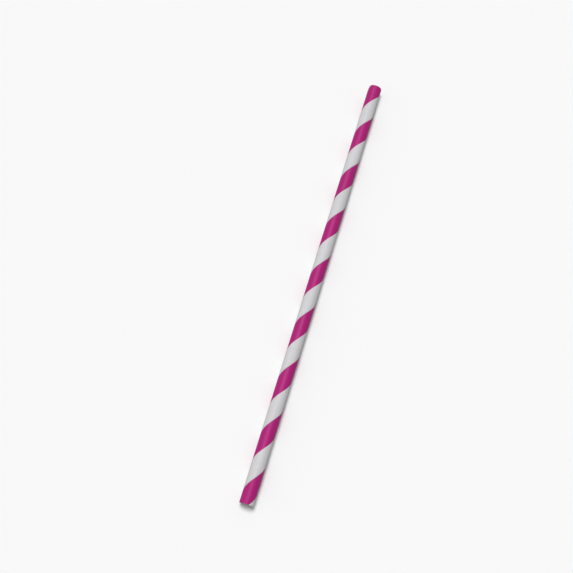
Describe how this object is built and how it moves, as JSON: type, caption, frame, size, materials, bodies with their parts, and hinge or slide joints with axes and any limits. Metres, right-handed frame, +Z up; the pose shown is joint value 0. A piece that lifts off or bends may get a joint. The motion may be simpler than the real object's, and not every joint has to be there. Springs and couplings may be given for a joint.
{
  "type": "paper drinking straw",
  "caption": "Spiral-wound paper drinking straw with a right-handed magenta stripe on off-white paper and square-cut open ends.",
  "frame": {"origin": "under the middle of the straw's length, on the surface that it lies on", "axes": "+X along the straw, towards the end whose outer seam closes on the printed band; +Z up, away from the surface that it lies on"},
  "size_m": [0.197, 0.006, 0.006],
  "materials": {
    "printed_paper": "matte uncoated paper, off-white, with a magenta spiral stripe over half of its surface"
  },
  "bodies": {
    "root": {"straw_tube": "printed_paper"}
  },
  "joints": []
}
